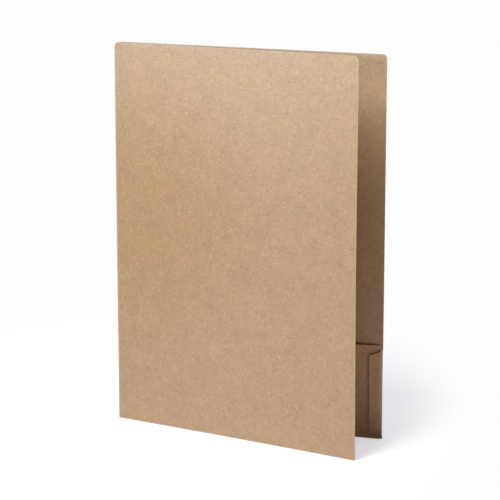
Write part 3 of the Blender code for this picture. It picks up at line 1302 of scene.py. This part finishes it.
@dataclass
class BottomPocket(SubAssembly):
    """Pocket panel, folded up inside the back cover, and the crease along its foot.

    Its lip stands off the cover by gape_at_tab at the outer end, and by the packed model's gape from
    gape_run inwards.
    """

    lip_corner: float = 0.008
    gape_at_tab: float = 0.0006
    gape_run: float = 0.034

    def build(self) -> list[bpy.types.Object]:
        """Make the pocket.

        Returns:
            The pocket panel and its crease.
        """
        layout = self.shop.layout
        low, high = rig.box("pocket_crease")
        left, right = low.x - layout.rear_axis.x, high.x - layout.rear_axis.x
        radius = (high.y - low.y - layout.card) / 2.0
        foot = high.z
        panel_low, panel_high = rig.box("pocket_panel")
        tall = panel_high.z - foot
        start = foot - math.pi * radius
        fold_y = layout.back_plane_y - 2.0 * radius
        outline = Outline([
            Corner(left, start),
            Corner(left, start - tall, self.lip_corner),
            Corner(right, start - tall),
            Corner(right, start, fold=True),
        ])
        panel = self.shop.panel("pocket_panel", outline, {
            "Start b": left, "Start v": start, "Width": right - left, "Height": tall,
            "Origin": Vector((low.x, fold_y, foot)), "Across": RIGHT, "Upwards": -UP, "Inwards": REARWARDS,
            "Lean at edge": -self.gape_at_tab, "Lean": panel_low.y - low.y, "Lean run": self.gape_run,
        })
        crease_outline = Outline([
            Corner(left, start, fold=True), Corner(right, start), Corner(right, foot, fold=True),
            Corner(left, foot),
        ])
        bend = self.shop.crease("pocket_crease", crease_outline, {
            "Radius": radius, "Flat start": BLANK_B * left + BLANK_V * foot, "Flat progress": -BLANK_V,
            "Flat along": BLANK_B, "Axis": Vector((low.x, fold_y + radius, foot)), "First spoke": REARWARDS,
            "Next spoke": -UP, "Along": RIGHT,
        })
        for piece in (panel, bend):
            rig.ride(piece, "back")
        return [panel, bend]


@dataclass
class SideTab(SubAssembly):
    """Side tab, folded in over the pocket panel, and the crease that it hangs on."""

    top_slant: float = 0.0037
    bottom_slant: float = 0.0050
    taper: float = 0.0006
    corner: float = 0.0008

    def build(self) -> list[bpy.types.Object]:
        """Make the tab.

        Returns:
            The side tab and its crease.
        """
        layout = self.shop.layout
        radius = layout.tab_radius
        bottom, top = (corner.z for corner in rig.box("side_tab_crease"))
        reach = layout.tab_axis.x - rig.box("side_tab")[0].x
        fold, start = layout.tab_fold, layout.tab_fold + math.pi * radius
        fold_y = layout.back_plane_y - 2.0 * radius
        outline = Outline([
            Corner(start, bottom),
            Corner(start + reach - self.taper, bottom + self.bottom_slant, self.corner),
            Corner(start + reach, top - self.top_slant, self.corner),
            Corner(start, top, fold=True),
        ])
        tab = self.shop.panel("side_tab", outline, {
            "Start b": start, "Origin": Vector((layout.tab_axis.x, fold_y, 0.0)), "Across": -RIGHT,
            "Inwards": REARWARDS,
        })
        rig.ride(tab, "tab")
        bend = self.shop.crease("side_tab_crease", Outline.strip(fold, start, bottom, top), {
            "Radius": radius, "Flat start": BLANK_B * fold, "Flat progress": BLANK_B, "Flat along": BLANK_V,
            "Axis": layout.tab_axis, "First spoke": REARWARDS, "Next spoke": RIGHT, "Along": UP,
        })
        inner = radius - layout.card / 2.0
        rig.blend(bend, "back", "tab", start=tuple(layout.tab_axis + REARWARDS * inner),
                 end=tuple(layout.tab_axis - REARWARDS * inner))
        return [tab, bend]


@dataclass(frozen=True)
class Lamp:
    """Lamp that the camera doesn't see, aimed at a point."""

    name: str
    place: Place
    aim: Place
    power: float
    colour: Colour

    def _light(self) -> bpy.types.Light:
        """Make the light itself, of the lamp's own kind."""
        raise NotImplementedError

    def hang(self) -> None:
        """Hang the lamp in its place and aim it."""
        light = self._light()
        light.energy, light.color = self.power, self.colour
        lamp = add_object(self.name, light, self.place, Vector(self.aim) - Vector(self.place))
        lamp.visible_camera = False


@dataclass(frozen=True)
class Softbox(Lamp):
    """Rectangular softbox, with its width and length in metres."""

    width: float
    length: float

    def _light(self) -> bpy.types.Light:
        """Make the light itself.

        Returns:
            The light, without its power and colour.
        """
        light = bpy.data.lights.new(self.name, "AREA")
        light.shape = "RECTANGLE"
        light.size, light.size_y = self.width, self.length
        return light


@dataclass(frozen=True)
class Spot(Lamp):
    """Spot whose light fades from the middle of its cone, in degrees, to the edge."""

    cone: float
    radius: float = 0.10
    softness: float = 1.0

    def _light(self) -> bpy.types.Light:
        """Make the light itself.

        Returns:
            The light, without its power and colour.
        """
        light = bpy.data.lights.new(self.name, "SPOT")
        light.spot_size, light.spot_blend = math.radians(self.cone), self.softness
        light.shadow_soft_size = self.radius
        return light


@dataclass(frozen=True)
class Fade:
    """Ring of the floor in which it fades into the backdrop, by distance from a centre."""

    centre: Place
    start: float
    end: float

    def amount(self, net: Net, place: Value) -> Value:
        """How much of the floor has faded at a place."""
        return net.measure("DISTANCE", place, self.centre).step(self.start, self.end)


@dataclass
class Studio:
    """Plain white studio: camera, softboxes and spots, light from all round and a white floor.

    Each lamp has its name, place, aim, power in watts and colour, and then a softbox's width and length or a
    spot's cone. What the camera sees of the floor is its share of the light and a glow, with a darker foot
    where the folder stands on it; it fades into white within the two rings.
    """

    camera_place: Place = (0.4265, -1.3614, 0.4437)
    camera_yaw: float = math.radians(-17.0086)
    camera_pitch: float = math.radians(-10.6102)
    lens: float = 134.09
    shift: float = -0.06
    clip: Span = (0.05, 50.0)
    lamps: tuple[Lamp, ...] = (
        Softbox("key", (-0.320, -0.844, 1.298), (0.0, 0.0, 0.155), 20.9, (0.950, 1.0, 0.990), 0.52, 0.85),
        Spot("sheen", (-0.55, -1.30, 0.50), (0.0, -0.02, 0.52), 66.0, (0.42, 0.68, 1.0), 26.0),
        Spot("foot", (-0.30, -1.25, 0.40), (0.0, -0.03, -0.06), 5.0, (0.62, 0.80, 1.0), 24.0),
        Softbox("near_card", (0.33, -0.02, 0.005), (0.33, -0.02, 1.0), 0.118, (1.0, 0.85, 0.90), 0.40, 0.08),
        Softbox("right_floor", (0.90, -0.30, 0.004), (0.90, -0.30, 1.0), 1.15, (1.0, 0.83, 0.68), 1.0, 0.66),
        Softbox("far_card", (0.90, -0.18, 0.02), (0.90, -0.18, 1.0), 4.8, (1.0, 0.70, 0.46), 0.60, 0.40),
    )
    sky: Colour = (0.058, 0.032, 0.030)
    white: float = 0.985
    floor_colour: Colour = (0.92, 0.92, 0.92)
    floor_share: float = 0.56
    floor_bounce: float = 0.06
    floor_glow: Colour = (0.765, 0.766, 0.800)
    foot_shade: float = 0.33
    foot_reach: float = 0.15
    foot_samples: int = 8
    floor_size: float = 8.0
    floor_drop: float = 0.0002
    backdrop_fade: Fade = Fade((0.05, 0.10, 0.0), 0.30, 0.42)
    shadow_fade: Fade = Fade((-0.68, -0.02, 0.0), 0.788, 0.859)

    def camera(self) -> None:
        """Place the camera where the photograph was taken from."""
        data = bpy.data.cameras.new("camera")
        data.lens, data.shift_y = self.lens, self.shift
        data.clip_start, data.clip_end = self.clip
        level = math.cos(self.camera_pitch)
        yaw, pitch = self.camera_yaw, self.camera_pitch
        forwards = Vector((math.sin(yaw) * level, math.cos(yaw) * level, math.sin(pitch)))
        bpy.context.scene.camera = add_object("camera", data, self.camera_place, forwards)

    @staticmethod
    def _seen(net: Net) -> Value:
        """1 for what the camera sees straight, in a mirror or through glass, and 0 for light that bounces."""
        path = net.add("ShaderNodeLightPath")
        return path["Is Camera Ray"].larger(path["Is Glossy Ray"]).larger(path["Is Transmission Ray"])

    def world(self) -> None:
        """Light from all round, with a white backdrop for the camera."""
        world = bpy.data.worlds.new("studio")
        bpy.context.scene.world = world
        world.use_nodes = True
        net = Net(world.node_tree)
        colour = net.mixed(self._seen(net), rgba(self.sky), rgba((self.white,) * 3))
        net.feed(world.node_tree.nodes["Background"], {"Color": colour})

    def floor(self) -> None:
        """White floor that keeps the folder's shadow and fades into the backdrop."""
        half = self.floor_size / 2.0
        mesh = bpy.data.meshes.new("floor")
        corners = [(-half, -half), (half, -half), (half, half), (-half, half)]
        mesh.from_pydata([(x, y, -self.floor_drop) for x, y in corners], [], [(0, 1, 2, 3)])
        floor = add_object("floor", mesh)
        material, net = new_material("floor")
        nodes = material.node_tree.nodes
        nodes.remove(nodes["Principled BSDF"])
        place = net.add("ShaderNodeTexCoord")["Object"]
        white = net.add("ShaderNodeBsdfDiffuse", {}, {"Color": rgba(self.floor_colour)})[0]
        bounce = net.add("ShaderNodeEmission", {}, {"Strength": self.floor_bounce})[0]
        paper = net.add("ShaderNodeAddShader", {}, {0: white, 1: bounce})[0]
        shade = net.add("ShaderNodeBsdfDiffuse", {}, {"Color": rgba((self.floor_share,) * 3)})[0]
        settings = {"samples": self.foot_samples}
        open_sky = net.add("ShaderNodeAmbientOcclusion", settings, {"Distance": self.foot_reach})["AO"]
        level = 1.0 - self.foot_shade * (1.0 - open_sky)
        glow = net.add("ShaderNodeEmission", {}, {"Color": rgba(self.floor_glow), "Strength": level})[0]
        near = net.add("ShaderNodeAddShader", {}, {0: shade, 1: glow})[0]
        far = net.add("ShaderNodeEmission", {}, {"Strength": self.white})[0]
        fade = self.backdrop_fade.amount(net, place).larger(self.shadow_fade.amount(net, place))
        shown = net.add("ShaderNodeMixShader", {}, {0: fade, 1: near, 2: far})[0]
        mixed = net.add("ShaderNodeMixShader", {}, {0: self._seen(net), 1: paper, 2: shown})[0]
        net.feed(nodes["Material Output"], {"Surface": mixed})
        mesh.materials.append(material)
        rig.stage(floor)

    def build(self) -> None:
        """Set the whole studio up."""
        bpy.context.scene.view_settings.view_transform = "Standard"
        self.camera()
        for lamp in self.lamps:
            lamp.hang()
        self.world()
        self.floor()


def clear_scene() -> None:
    """Remove what the file opened with."""
    for item in list(bpy.data.objects):
        bpy.data.objects.remove(item, do_unlink=True)


def write_sizes(packed: tuple[Vector, Vector], dressed: tuple[Vector, Vector]) -> None:
    """Write the two boxes that the sizes are compared by.

    Args:
        packed: Lowest and highest corner of the packed model.
        dressed: Lowest and highest corner of the finished pieces.
    """
    boxes = {"cad": [list(corner) for corner in packed], "visual": [list(corner) for corner in dressed]}
    with open(SIZE_FILE, "w", encoding="utf-8") as out:
        json.dump(boxes, out, indent=1)


def main() -> None:
    """Build the folder and the studio round it."""
    logging.basicConfig(level=logging.INFO, format="%(message)s")
    clear_scene()
    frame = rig.load()
    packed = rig.bounds()
    shop = Workshop(Layout.from_frame(frame))
    parts: tuple[type[SubAssembly], ...] = (BackCover, FrontCover, SpineGusset, BottomPocket, SideTab)
    for part in parts:
        for piece in part(shop).build():
            LOG.info("%s: %s, %d faces", part.__name__, piece.name, len(piece.data.polygons))
    Studio().build()
    write_sizes(packed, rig.bounds())


if __name__ == "__main__":
    main()
